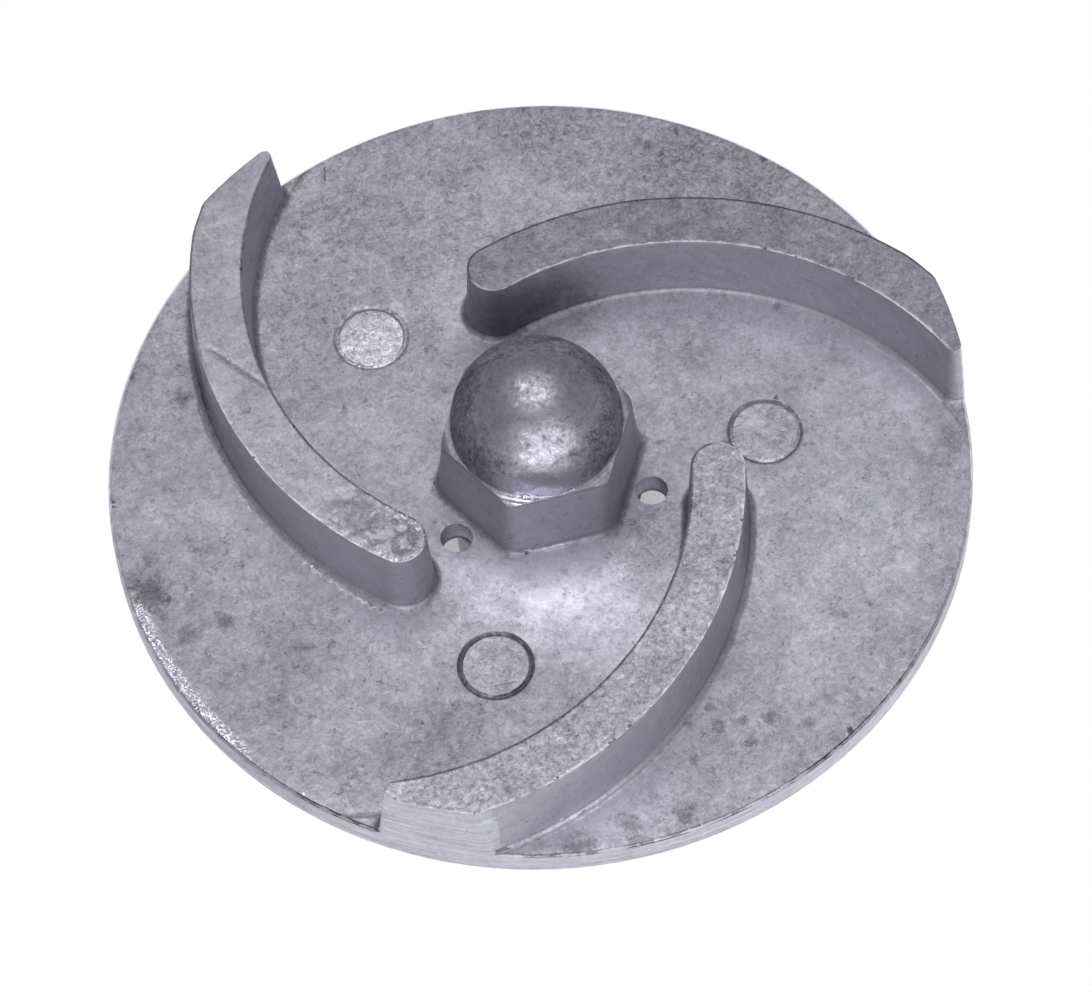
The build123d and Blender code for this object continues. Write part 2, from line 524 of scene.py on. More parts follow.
def ramp(tree, value, low, high, out_low=0.0, out_high=1.0, smooth=True):
    """A value carried from one range to another, clamped."""
    node = tree.nodes.new("ShaderNodeMapRange")
    node.interpolation_type = "SMOOTHSTEP" if smooth else "LINEAR"
    for name, v in (
        ("Value", value), ("From Min", low), ("From Max", high), ("To Min", out_low), ("To Max", out_high)
    ):
        feed(tree, node.inputs[name], v)
    return node.outputs["Result"]


def grain(tree, vector, size, detail=2.0, roughness=0.5, distortion=0.0):
    """Noise whose coarsest grain has a size in millimetres."""
    node = tree.nodes.new("ShaderNodeTexNoise")
    feed(tree, node.inputs["Vector"], vector)
    node.inputs["Scale"].default_value = 1.0 / (size * MM)
    node.inputs["Detail"].default_value = detail
    node.inputs["Roughness"].default_value = roughness
    node.inputs["Distortion"].default_value = distortion
    return node.outputs["Fac"]


def tint(tree, factor, a, b, blend="MIX"):
    """Two colours mixed by a factor."""
    node = tree.nodes.new("ShaderNodeMix")
    node.data_type = "RGBA"
    node.blend_type = blend
    feed(tree, node.inputs["Factor"], factor)
    feed(tree, node.inputs[6], a)
    feed(tree, node.inputs[7], b)
    return node.outputs[2]


def shift(tree, vector, turn=0.0, scale=(1.0, 1.0, 1.0), move=(0.0, 0.0, 0.0)):
    """A vector moved, turned about Z in degrees and scaled."""
    node = tree.nodes.new("ShaderNodeMapping")
    feed(tree, node.inputs["Vector"], vector)
    node.inputs["Location"].default_value = move
    node.inputs["Rotation"].default_value = (0, 0, math.radians(turn))
    node.inputs["Scale"].default_value = scale
    return node.outputs[0]


def moved_grain(tree, vector, move, *settings):
    """Noise taken from a moved place, so that no two noises match."""
    return grain(tree, shift(tree, vector, move=move), *settings)


def attribute(tree, name):
    """The value of a named attribute of the mesh."""
    node = tree.nodes.new("ShaderNodeAttribute")
    node.attribute_name = name
    return node.outputs["Fac"]


def new_group(name, inputs, outputs):
    """A node group with named sockets: its tree, its inputs by name, and a way to set its outputs."""
    tree = bpy.data.node_groups.new(name, "ShaderNodeTree")
    for label, kind, value in inputs:
        socket = tree.interface.new_socket(label, in_out="INPUT", socket_type=kind)
        if value is not None:
            socket.default_value = value
    for label, kind in outputs:
        tree.interface.new_socket(label, in_out="OUTPUT", socket_type=kind)
    entry = tree.nodes.new("NodeGroupInput")
    leave = tree.nodes.new("NodeGroupOutput")
    return tree, entry.outputs, leave.inputs


def place_group(tree, group, **values):
    """A group placed in a tree with its inputs fed; gives back its outputs."""
    node = tree.nodes.new("ShaderNodeGroup")
    node.node_tree = group
    for label, value in values.items():
        feed(tree, node.inputs[label.replace("_", " ")], value)
    return node.outputs


def mask_of(tree, group, where, amount):
    """The mask of a scratch group, for an amount of scratches."""
    return place_group(tree, group, Vector=where, Amount=amount)["Mask"]


VECTOR, NUMBER, COLOUR = "NodeSocketVector", "NodeSocketFloat", "NodeSocketColor"
print("node helpers for sockets of", VECTOR, NUMBER, COLOUR)

# %% [markdown]
# ## Mottle
# Die-cast aluminium is grey with a grain at every size at once: clouds as wide
# as a fingertip, blotches of a few millimetres, and hair-fine flecks. Adding
# octaves of noise that are all equally strong gives just that. Dark specks and
# bright flecks come from the tails of finer noise.

# %% Mottle group
mottle, at, out = new_group(
    "cast mottle",
    [("Vector", VECTOR, None), ("Clouds", NUMBER, 1.0), ("Flecks", NUMBER, 1.0)],
    [("Shade", NUMBER), ("Bright", NUMBER), ("Dark", NUMBER), ("Height", NUMBER)],
)
clouds = grain(mottle, at["Vector"], 14.0, 3.0, 0.7, 0.4)
blotches = moved_grain(mottle, at["Vector"], (0.3, 0.1, 0.2), 3.0, 2.0, 0.8, 0.5)
worms = moved_grain(mottle, at["Vector"], (0.7, 0.4, 0.1), 0.85, 2.0, 1.0, 0.7)
cloud_part = times(mottle, centred(mottle, clouds), at["Clouds"])
blotch_part = times(mottle, centred(mottle, blotches), at["Clouds"])
worm_part = times(mottle, centred(mottle, worms), at["Flecks"])
shade = times_plus(mottle, cloud_part, 0.42, times(mottle, blotch_part, 0.5))
shade = times_plus(mottle, worm_part, 0.9, shade)
flakes = moved_grain(mottle, at["Vector"], (0.2, 0.9, 0.5), 0.75, 2.0, 0.6, 1.5)
sparse = moved_grain(mottle, at["Vector"], (0.5, 0.2, 0.8), 5.0, 1.0, 0.5)
bright = times(mottle, ramp(mottle, flakes, 0.64, 0.72), ramp(mottle, sparse, 0.42, 0.62))
dark = times(mottle, ramp(mottle, flakes, 0.36, 0.27), ramp(mottle, sparse, 0.62, 0.40))
wander = moved_grain(mottle, at["Vector"], (0.4, 0.6, 0.9), 1.9, 2.0, 0.6, 1.4)
crease = ramp(mottle, apart(mottle, wander, 0.5), 0.030, 0.008)
short = ramp(mottle, moved_grain(mottle, at["Vector"], (0.8, 0.1, 0.3), 1.3, 1.0, 0.5), 0.60, 0.68)
dark = most(mottle, dark, times(mottle, crease, short))
feed(mottle, out["Shade"], shade)
feed(mottle, out["Bright"], bright)
feed(mottle, out["Dark"], dark)
feed(mottle, out["Height"], times_plus(mottle, worms, 0.5, times(mottle, blotches, 0.8)))
print("mottle", len(mottle.nodes), "nodes")

# %% [markdown]
# ## Scratches
# A scratch is thin and long, so it is noise squeezed hard across and stretched
# along, with only its peaks kept. A function takes the direction and makes one
# group for it, and a broad noise decides where scratches are at all.

# %% Scratch group
def scratch_group(name, turn, length=5.0, width=0.30, kept_from=0.66):
    """A group whose mask is 1 on fine scratches that run at an angle in degrees, sizes in millimetres."""
    tree, at, out = new_group(
        name, [("Vector", VECTOR, None), ("Amount", NUMBER, 0.5)], [("Mask", NUMBER)]
    )
    squeezed = shift(tree, at["Vector"], turn=-turn, scale=(width / length, 1.0, 0.3))
    lines = grain(tree, squeezed, width, 1.0, 0.6, 0.15)
    where = moved_grain(tree, at["Vector"], (turn * 0.01, 0.3, 0.6), 5.5, 1.0, 0.5)
    kept = ramp(tree, lines, kept_from, kept_from + 0.08)
    allowed = ramp(tree, plus(tree, where, at["Amount"]), 0.95, 1.12)
    feed(tree, out["Mask"], times(tree, kept, allowed))
    return tree


scratches_across = scratch_group("scratches across", -14.0)
scratches_slant = scratch_group("scratches slanting", 38.0)
scratches_steep = scratch_group("scratches steep", 112.0)
strokes_level = scratch_group("strokes level", -20.0, 1.5, 0.28, 0.63)
strokes_cross = scratch_group("strokes cross", 55.0, 1.3, 0.28, 0.64)
print("scratch groups made")

# %% [markdown]
# ## Stains
# Dark oxide and dirt sit in a few known places on the disc. Each is a soft round
# mask with a ragged edge, made by adding noise to the distance from its centre.
# They are listed by place and size, so that one can be moved or left out. The
# last two, in the hollow between the hexagon and the upper vane's nose, are
# painted shade.

# %% Stain group
# The last two entries lie in the hollow by the upper vane's nose and are painted shade, not stains.
stains_and_shade = (
    (-52.8, -5.6, 3.0, 0.85), (-44.2, -11.9, 1.5, 0.6), (-49.0, -12.9, 1.6, 0.45), (-42.8, 21.7, 1.6, 0.6),
    (-8.0, -54.6, 2.2, 0.7), (-1.2, -53.0, 1.6, 0.55), (5.8, -53.4, 1.6, 0.6), (53.0, -9.6, 2.2, 0.5),
    (35.8, 15.4, 0.8, 0.6), (-32.1, -45.4, 1.3, 0.5), (12.6, -39.4, 0.9, 0.55), (9.2, -41.2, 0.8, 0.55),
    (12.9, -42.4, 1.1, 0.6), (16.3, -42.4, 0.8, 0.5), (19.5, -43.0, 1.0, 0.6), (16.3, -45.6, 0.8, 0.5),
    (8.6, -46.0, 0.8, 0.5), (-51.5, -1.0, 1.3, 0.4), (24.0, -45.0, 0.9, 0.45), (27.0, -42.0, 0.8, 0.4),
    (-0.6, -16.2, 0.7, 0.5), (-0.2, -22.9, 0.5, 0.35), (15.9, -0.6, 0.6, 0.45), (-18.4, -16.4, 0.6, 0.4),
    (1.2, -20.8, 0.5, 0.4), (38.5, 3.2, 0.5, 0.3), (-32.2, -45.6, 0.9, 0.6), (25.6, 21.3, 0.45, 0.7, 22.0),
    (10.4, 21.2, 3.0, 0.4, 19.6), (1.4, 19.9, 2.4, 0.5, 19.2),
)


def distance_to(tree, vector, x, y, z=disc_top):
    """Distance from a place given in millimetres, in metres."""
    node = tree.nodes.new("ShaderNodeVectorMath")
    node.operation = "DISTANCE"
    feed(tree, node.inputs[0], vector)
    node.inputs[1].default_value = (x * MM, y * MM, z * MM)
    return node.outputs["Value"]


def patches_at(tree, vector, places, ragged, raggedness, core, join):
    """Soft ragged patches at listed places (x, y, size, strength, and a height if not on the disc)."""
    total = 0.0
    for x, y, size, strength, *z in places:
        gap = distance_to(tree, vector, x, y, *z)
        gap = times_plus(tree, centred(tree, ragged), raggedness * size * MM, gap)
        total = sums(tree, join, ramp(tree, gap, 1.25 * size * MM, core * size * MM, 0.0, strength), total)
    return total


stain_and_shade_group, at, out = new_group("stains_and_shade", [("Vector", VECTOR, None)], [("Mask", NUMBER)])
ragged = grain(stain_and_shade_group, at["Vector"], 1.1, 3.0, 0.7, 0.6)
feed(stain_and_shade_group, out["Mask"], patches_at(stain_and_shade_group, at["Vector"], stains_and_shade, ragged, 2.6, 0.3, "MAXIMUM"))
print("stains_and_shade", len(stains_and_shade))

# %% [markdown]
# ## Painted light and shade
# Soft patches of painted highlight and painted shade lie on the disc: it is
# brighter most of all between the hexagon and the pads, and duller near parts of
# the rim. Each soft patch adds to the shade or takes from it. A second list does
# the same on the vanes' walls.

# %% Painted light and shade group
# Positive patches are painted highlights, negative ones painted shade.
painted_light_and_shade_patches = (
    (-4.9, -15.0, 11.5, 0.34), (2.4, -24.0, 11.0, 0.26), (-13.6, -18.4, 8.0, 0.12), (9.0, -17.0, 7.0, 0.08),
    (-15.4, 8.0, 14.0, 0.12), (-7.7, 32.8, 13.0, 0.14), (40.2, -5.1, 12.0, 0.10), (18.8, 6.7, 11.0, 0.10),
    (33.5, 14.0, 10.0, 0.06), (50.5, -1.8, 6.0, 0.12), (25.0, -29.5, 11.0, 0.10), (-5.2, -48.4, 8.0, 0.30),
    (9.6, 39.5, 10.0, 0.20), (-39.3, 5.0, 8.0, 0.14), (-22.6, -17.5, 7.0, 0.06), (38.0, -22.0, 12.0, 0.10),
    (-30.2, -39.8, 8.0, -0.04), (12.6, 53.0, 11.0, -0.10), (33.9, 40.0, 12.0, -0.12),
    (9.1, -47.8, 9.0, -0.06), (-27.0, 42.0, 9.0, 0.14), (-17.0, -40.0, 12.0, 0.06),
    (-44.0, -26.0, 11.0, -0.06), (10.5, -12.0, 7.0, -0.10), (-35.6, -17.1, 7.0, -0.10),
    (-10.2, 36.7, 7.0, -0.12), (24.8, 13.0, 7.0, -0.16), (-20.3, -35.8, 8.0, -0.16),
    (-18.2, -15.7, 5.0, -0.10), (1.2, -22.3, 5.0, 0.10), (19.9, -31.6, 6.0, -0.08),
)
# The same on the vanes' walls, mostly painted shade.
painted_wall_light_and_shade = (
    (-46.5, 12.0, 17.0, -0.42, 22.0), (-49.5, 25.0, 14.0, -0.30, 22.0), (25.5, -15.0, 15.0, -0.34, 22.0),
    (-39.6, 21.1, 8.0, -0.26, 22.0), (22.2, -16.6, 8.0, -0.22, 22.0), (6.5, 20.0, 9.0, -0.40, 22.0),
    (-28.5, -10.1, 8.0, 0.26, 22.0), (-10.5, -4.5, 7.0, 0.13, 22.0), (12.8, -33.5, 9.0, -0.18, 22.0),
    (40.5, 8.5, 12.0, 0.14, 22.0), (-0.5, -48.0, 14.0, 0.10, 22.0),
)
painted_sheen_and_shade, at, out = new_group("painted_sheen_and_shade", [("Vector", VECTOR, None)], [("Shade", NUMBER), ("Wall Shade", NUMBER)])
drift = grain(painted_sheen_and_shade, at["Vector"], 7.0, 3.0, 0.65, 0.8)
feed(painted_sheen_and_shade, out["Shade"], patches_at(painted_sheen_and_shade, at["Vector"], painted_light_and_shade_patches, drift, 1.1, 0.1, "ADD"))
feed(painted_sheen_and_shade, out["Wall Shade"], patches_at(painted_sheen_and_shade, at["Vector"], painted_wall_light_and_shade, drift, 0.6, 0.1, "ADD"))
print("sheen patches", len(painted_light_and_shade_patches))

# %% [markdown]
# ## Rings of the ejector pins
# A pin leaves two fine lines: the edge of its own end, and the edge of the skin
# round it. They are painted dark as shade here and there, and where they aren't,
# a thin bright crescent of painted highlight shows beside the line.

# %% Pin ring group
pin_rings, at, out = new_group(
    "pin rings", [("Vector", VECTOR, None)], [("Dark", NUMBER), ("Bright", NUMBER)]
)
closest = 1.0
for pad in pads:
    closest = sums(pin_rings, "MINIMUM", distance_to(pin_rings, at["Vector"], *pad), closest)
deep_pad = ramp(pin_rings, distance_to(pin_rings, at["Vector"], *pads[1]), 7.0 * MM, 6.0 * MM, 0.2, 1.0)
uneven = grain(pin_rings, at["Vector"], 2.4, 3.0, 0.7, 0.5)
closest = times_plus(pin_rings, centred(pin_rings, uneven), 0.35 * MM, closest)


def ring_line(radius, outside, inside):
    """A soft line round each pad at a radius in millimetres."""
    away = apart(pin_rings, closest, radius * MM)
    return ramp(pin_rings, away, outside * MM, inside * MM)


# The dark lines are painted shade in the grooves.
outer_line = times(pin_rings, ring_line(4.72, 0.26, 0.10), ramp(pin_rings, uneven, 0.38, 0.52, 0.35, 0.95))
inner_line = times(pin_rings, ring_line(4.36, 0.17, 0.05), deep_pad)
inner_line = times(pin_rings, inner_line, ramp(pin_rings, uneven, 0.42, 0.54))
feed(pin_rings, out["Dark"], most(pin_rings, outer_line, inner_line))
# Painted highlight: a thin bright crescent beside the inner line.
painted_crescent_highlight = times(pin_rings, ring_line(4.28, 0.20, 0.08), ramp(pin_rings, uneven, 0.52, 0.42))
feed(pin_rings, out["Bright"], painted_crescent_highlight)
print("pin rings", len(pin_rings.nodes), "nodes")

# %% [markdown]
# ## Single marks
# A few scratches and chips stand out enough to be known one by one. Each is a
# short line on the casting, so its mask is the distance to that line, seen from
# above, compared with half the line's width.

# %% Single marks group
bright_marks = (
    (-35.4, 39.3, -34.6, 37.6, 0.16, 0.9), (-34.6, 37.6, -33.2, 37.2, 0.16, 0.9),
    (-29.6, 44.4, -29.2, 43.9, 0.3, 0.8), (-37.8, 30.7, -37.3, 30.3, 0.28, 0.8),
    (27.3, 20.4, 27.9, 20.2, 0.3, 0.9), (-39.9, -39.0, -39.8, -38.5, 0.3, 1.0),
    (-32.2, -7.3, -31.8, -7.0, 0.26, 1.0), (-6.8, -27.7, -1.8, -29.0, 0.4, 0.16),
    (2.0, -34.3, 7.4, -35.7, 0.4, 0.16), (-10.6, -32.6, -5.4, -33.9, 0.4, 0.14),
    (-21.4, 49.3, -19.6, 48.9, 0.2, 0.6), (-26.7, -49.3, -22.6, -51.2, 0.3, 0.9),
    (-22.6, -51.2, -18.7, -52.5, 0.3, 0.8),
)
dark_marks = (
    (-17.1, 51.9, -17.5, 50.0, 0.3, 0.9), (-38.0, 21.1, -32.6, 14.4, 0.4, 0.6),
    (38.2, 3.3, 38.8, 3.0, 0.3, 0.5), (-29.0, 4.5, -25.6, 3.4, 0.35, 0.5),
    (-24.4, -3.7, -21.2, -5.5, 0.35, 0.55),
)
single, at, out = new_group(
    "single marks", [("Vector", VECTOR, None)], [("Bright", NUMBER), ("Dark", NUMBER)]
)


def vector_sum(tree, operation, a, b=None, scale=None):
    """A Vector Math node's output, or its value where the result is one number."""
    node = tree.nodes.new("ShaderNodeVectorMath")
    node.operation = operation
    feed(tree, node.inputs[0], a)
    if b is not None:
        feed(tree, node.inputs[1], b)
    if scale is not None:
        feed(tree, node.inputs["Scale"], scale)
    return node.outputs["Value" if operation in ("DOT_PRODUCT", "LENGTH") else "Vector"]


def marks_at(tree, vector, marks, wobble):
    """Short lines (x, y, x, y, width, strength) seen from above, with wobbly edges."""
    total = 0.0
    for x0, y0, x1, y1, width, strength in marks:
        line = Vector((x1 - x0, y1 - y0, 0)) * MM
        from_start = vector_sum(tree, "SUBTRACT", vector, (x0 * MM, y0 * MM, 0))
        along_mark = vector_sum(tree, "DOT_PRODUCT", from_start, line.normalized())
        along_mark = sums(tree, "MINIMUM", most(tree, along_mark, 0.0), line.length)
        nearest_point = vector_sum(tree, "SCALE", line.normalized(), scale=along_mark)
        gap = vector_sum(tree, "LENGTH", vector_sum(tree, "SUBTRACT", from_start, nearest_point))
        gap = times_plus(tree, wobble, width * MM, gap)
        total = most(tree, ramp(tree, gap, 0.75 * width * MM, 0.3 * width * MM, 0.0, strength), total)
    return total


level_place = vector_sum(single, "MULTIPLY", at["Vector"], (1.0, 1.0, 0.0))
wobble = centred(single, grain(single, at["Vector"], 0.5, 1.0, 0.5))
feed(single, out["Bright"], marks_at(single, level_place, bright_marks, wobble))
feed(single, out["Dark"], marks_at(single, level_place, dark_marks, wobble))
print("single marks", len(bright_marks) + len(dark_marks))

# %% [markdown]
# ## Rubbed edges
# Handling rubs the crests bright. The group is given the distance from the edge
# and a width, and breaks the band up with noise so that it comes and goes.

# %% Edge group
rubbed, at, out = new_group(
    "rubbed edge",
    [("Vector", VECTOR, None), ("Distance", NUMBER, 0.0), ("Width", NUMBER, 0.0005), ("Amount", NUMBER, 0.5)],
    [("Mask", NUMBER)],
)
patchy = grain(rubbed, at["Vector"], 3.2, 3.0, 0.75, 0.4)
crumbs = grain(rubbed, at["Vector"], 0.5, 2.0, 0.7, 0.3)
reach = times(rubbed, at["Width"], ramp(rubbed, plus(rubbed, patchy, at["Amount"]), 0.7, 1.25, 0.0, 1.6))
near = sums(rubbed, "DIVIDE", at["Distance"], most(rubbed, reach, 1e-6))
near = times_plus(rubbed, centred(rubbed, crumbs), 1.2, near)
feed(rubbed, out["Mask"], ramp(rubbed, near, 1.15, 0.55))
print("edge group", len(rubbed.nodes), "nodes")

# %% [markdown]
# ## Colour of the metal
# All surfaces end in the same step: a shade and a few masks become a base colour
# and a roughness. Oxidised metal is grey with a little violet, bare rubbed metal
# and painted highlights are lighter and smoother, and dirt and painted shade are
# darker and duller.

# %% Metal group
metal, at, out = new_group(
    "aluminium tone",
    [("Tone", NUMBER, 0.33), ("Shade", NUMBER, 0.0), ("Bright", NUMBER, 0.0), ("Dark", NUMBER, 0.0),
     ("Roughness", NUMBER, 0.45)],
    [("Color", COLOUR), ("Roughness", NUMBER)],
)
lightness = times(metal, at["Tone"], plus(metal, at["Shade"], 1.0))
lightness = times(metal, lightness, ramp(metal, at["Dark"], 0.0, 1.0, 1.0, 0.45, smooth=False))
grey = metal.nodes.new("ShaderNodeCombineColor")
for socket, part in zip(grey.inputs, (1.0, 0.985, 1.165)):
    feed(metal, socket, times(metal, lightness, part))
bare = sums(metal, "MULTIPLY", at["Bright"], 0.75, clamp=True)
feed(metal, out["Color"], tint(metal, bare, grey.outputs[0], (0.62, 0.615, 0.68, 1.0)))
dull = times_plus(metal, at["Shade"], -0.35, at["Roughness"])
dull = times_plus(metal, at["Dark"], 0.14, dull)
feed(metal, out["Roughness"], sums(metal, "MULTIPLY_ADD", at["Bright"], -0.08, dull, clamp=True))
print("metal group", len(metal.nodes), "nodes")


# %% Start of a material
def start_material(name, metallic, bump_height, bump_strength=1.0):
    """A metal material: its tree, shader, object coordinates and bump node."""
    material = bpy.data.materials.new(name)
    material.use_nodes = True
    tree = material.node_tree
    shader = tree.nodes["Principled BSDF"]
    shader.inputs["Metallic"].default_value = metallic
    coordinates = tree.nodes.new("ShaderNodeTexCoord")
    bump = tree.nodes.new("ShaderNodeBump")
    bump.inputs["Strength"].default_value = bump_strength
    bump.inputs["Distance"].default_value = bump_height * MM
    tree.links.new(bump.outputs["Normal"], shader.inputs["Normal"])
    return material, tree, shader, coordinates.outputs["Object"], bump.inputs["Height"]


def finish_metal(tree, shader, tone, shade, bright, dark, roughness):
    """Turn a shade and masks into the shader's colour and roughness."""
    tones = place_group(tree, metal, Tone=tone, Shade=shade, Bright=bright, Dark=dark, Roughness=roughness)
    tree.links.new(tones["Color"], shader.inputs["Base Color"])
    tree.links.new(tones["Roughness"], shader.inputs["Roughness"])


def split(tree, vector):
    """The X, Y and Z of a vector."""
    node = tree.nodes.new("ShaderNodeSeparateXYZ")
    feed(tree, node.inputs[0], vector)
    return node.outputs


def vane_distances(tree, where):
    """Distance in from a vane's top edge, and distance out from its foot, in metres."""
    uv = tree.nodes.new("ShaderNodeUVMap")
    uv.uv_map = "along vane"
    run_node, offset_node, _ = split(tree, uv.outputs[0])
    height_node = split(tree, where)[2]
    past_nose = sums(tree, "MINIMUM", run_node, 0.0)
    middle = hypotenuse(tree, past_nose, offset_node)
    inwards = minus(tree, top_half_width * MM, middle)
    below = minus(tree, vane_top * MM, height_node)
    from_edge = most(tree, inwards, below)
    outside = minus(tree, middle, foot_half_width * MM)
    above = minus(tree, height_node, disc_top * MM)
    from_foot = most(tree, outside, above)
    return from_edge, from_foot, run_node, offset_node


print("materials end in the group", metal.name)

# %% [markdown]
# ## The face as cast
# The disc, the fillets and the sides of the vanes and hexagon are the skin as it
# left the die. The flat face shows the full mottle, stains and scratches. The
# steep sides are smoother, because the die slid along them as the casting was
# pushed out. How steep a place is comes from its normal.

# %% Cast face
cast_face, tree, shader, where, bump_height = start_material("cast face", 0.75, 0.022)
far_side = ramp(tree, split(tree, where)[1], 12 * MM, 42 * MM, 1.0, 1.75)
tones = place_group(tree, mottle, Vector=where, Clouds=1.0, Flecks=far_side)
coordinates = tree.nodes["Texture Coordinate"]
steep = ramp(tree, split(tree, coordinates.outputs["Normal"])[2], 0.75, 0.25)
flat = inverse(tree, steep)
from_edge, from_foot, run_node, offset_node = vane_distances(tree, where)
from_hexagon = minus(tree, attribute(tree, "hexagon reach"), 12.7 * MM)
# Painted shade: the disc is darkened just beside the vanes' feet.
painted_corner_shade = ramp(tree, from_foot, 1.2 * MM, 0.4 * MM, 0.0, 0.04)
inner_side = ramp(tree, offset_node, 0.5 * MM, -0.5 * MM)
number = attribute(tree, "vane")
first_vane = sums(tree, "COMPARE", number, 0.0, 0.1)
# One side of each vane gets rubbed wear on its edges that is also a painted highlight; the other side gets
# lines of painted shade.
worn_and_lit_side = apart(tree, first_vane, inverse(tree, inner_side))
foot_gap = apart(tree, from_foot, 0.30 * MM)
# Painted highlight: a thin light line along the fillet at the vanes' feet.
painted_foot_highlight = times(tree, ramp(tree, foot_gap, 0.22 * MM, 0.06 * MM, 0.0, 0.26), worn_and_lit_side)
painted_foot_highlight = times(tree, painted_foot_highlight, times_plus(tree, first_vane, 0.9, 0.1))
painted_foot_highlight = times(tree, painted_foot_highlight, ramp(tree, run_node, 8 * MM, 16 * MM))
second_vane = sums(tree, "COMPARE", number, 1.0, 0.1)
fresh = times(tree, ramp(tree, run_node, 28 * MM, 44 * MM), second_vane)
worn_and_lit_side = times(tree, worn_and_lit_side, inverse(tree, fresh))
# Painted highlight: a thin light line round the hexagon's foot.
hexagon_foot_highlight = times(tree, ramp(tree, sums(tree, "ABSOLUTE", from_hexagon), 0.16 * MM, 0.0), flat)
edge_light = place_group(tree, rubbed, Vector=where, Distance=from_edge, Width=0.34 * MM, Amount=0.30)["Mask"]
lines_a = mask_of(tree, scratches_across, where, 0.42)
lines_b = mask_of(tree, scratches_slant, where, 0.40)
stain_and_shade_mask = place_group(tree, stain_and_shade_group, Vector=where)["Mask"]
east, north, high = split(tree, where)
rim_reach = hypotenuse(tree, east, north)
burr_crumbs = ramp(tree, grain(tree, where, 0.6, 2.0, 0.7, 1.6), 0.52, 0.57)
burr_band = times(tree, ramp(tree, rim_reach, 53.8 * MM, 54.8 * MM), ramp(tree, east, -42 * MM, -50 * MM))
burr_band = times(tree, burr_band, ramp(tree, north, -4 * MM, -9 * MM))
burr = times(tree, burr_crumbs, burr_band)
strokes_a = mask_of(tree, strokes_level, where, 0.55)
strokes_b = mask_of(tree, strokes_cross, where, 0.50)
strokes = times(tree, most(tree, strokes_a, strokes_b), 0.42)
bright = times_plus(tree, most(tree, lines_a, lines_b), 0.4, times(tree, tones["Bright"], 0.7))
bright = most(tree, bright, strokes, burr)
bright = times(tree, bright, flat)
# Rubbed edge wear, kept on one side only, which makes it partly a painted highlight.
edge_light = times(tree, edge_light, worn_and_lit_side)
bright = most(tree, bright, edge_light, times(tree, hexagon_foot_highlight, 0.12))
known = place_group(tree, single, Vector=where)
known_bright = times(tree, known["Bright"], flat)
bright = most(tree, bright, painted_foot_highlight, known_bright)
shade = times(tree, known_bright, 0.5)
shaded_side = inverse(tree, worn_and_lit_side)
# Painted shade: thin dark lines along the other side's top edges and feet.
painted_shade_line = times(tree, ramp(tree, from_edge, 0.5 * MM, 0.1 * MM, 0.0, 0.5), shaded_side)
painted_foot_shade = times(tree, ramp(tree, foot_gap, 0.34 * MM, 0.10 * MM, 0.0, 0.42), shaded_side)
painted_shade_line = most(tree, painted_shade_line, painted_foot_shade)
# Painted shade in the hollow between the hexagon and the upper vane's nose.
sheltered = distance_to(tree, where, 0.5, 19.6, 21.5)
painted_shelter_shade = times(tree, ramp(tree, sheltered, 10.0 * MM, 3.0 * MM, 0.0, 0.62), steep)
rings = place_group(tree, pin_rings, Vector=where)
dark = times_plus(tree, tones["Dark"], 0.6, most(tree, stain_and_shade_mask, painted_corner_shade))
dark = most(tree, dark, painted_shade_line, painted_shelter_shade, rings["Dark"])
dark = most(tree, dark, times(tree, known["Dark"], flat))
shade = times_plus(tree, tones["Shade"], ramp(tree, steep, 0.0, 1.0, 1.0, 0.45), shade)
# Soft patches of painted highlight and painted shade on the disc and the walls.
painted_light_and_shade = place_group(tree, painted_sheen_and_shade, Vector=where)
shade = plus(tree, shade, times(tree, painted_light_and_shade["Shade"], flat))
shade = plus(tree, shade, times(tree, painted_light_and_shade["Wall Shade"], steep))
# Painted shade on the fillet round the hexagon's foot.
painted_hexagon_fillet_shade = ramp(
    tree, sums(tree, "ABSOLUTE", plus(tree, from_hexagon, 0.35 * MM)), 0.6 * MM, 0.2 * MM, 0.0, -0.28
)
low_down = ramp(tree, high, 19.0 * MM, 18.5 * MM)
shade = times_plus(tree, painted_hexagon_fillet_shade, low_down, shade)
drag_place = tree.nodes.new("ShaderNodeCombineXYZ")
feed(tree, drag_place.inputs[0], times(tree, run_node, 0.35))
feed(tree, drag_place.inputs[1], times_plus(tree, run_node, 0.45, high))
drag = centred(tree, grain(tree, drag_place.outputs[0], 1.8, 3.0, 0.6, 0.6))
off_hexagon = ramp(tree, rim_reach, 15 * MM, 17 * MM, 0.1, 0.34)
shade = times_plus(tree, times(tree, drag, steep), off_hexagon, shade)
shade = times_plus(tree, burr, 1.1, shade)
# Painted light on the disc beside the vanes' feet.
painted_light_beside_foot = times(tree, ramp(tree, from_foot, 4.2 * MM, 1.0 * MM, 0.0, 0.13), flat)
shade = plus(tree, shade, painted_light_beside_foot)
# Painted shade on the fillets at the vanes' feet.
fillet_gap = apart(tree, from_foot, 0.40 * MM)
shade = plus(tree, shade, ramp(tree, fillet_gap, 0.62 * MM, 0.25 * MM, 0.0, -0.26))
finish_metal(tree, shader, 0.42, shade, bright, dark, 0.50)
feed(tree, bump_height, times(tree, tones["Height"], ramp(tree, steep, 0.0, 1.0, 1.0, 0.35)))
print("cast face", len(tree.nodes), "nodes")

# %% [markdown]
# ## Tops of the vanes
# The tops are rubbed at their edges and scratched across. The rubbed edge is
# kept on one side of each vane, where it is also a painted highlight, and the
# other edge gets a thin dark line of painted shade. One vane's top is rough all
# over, so a stronger mottle is mixed in where the vane's number says.

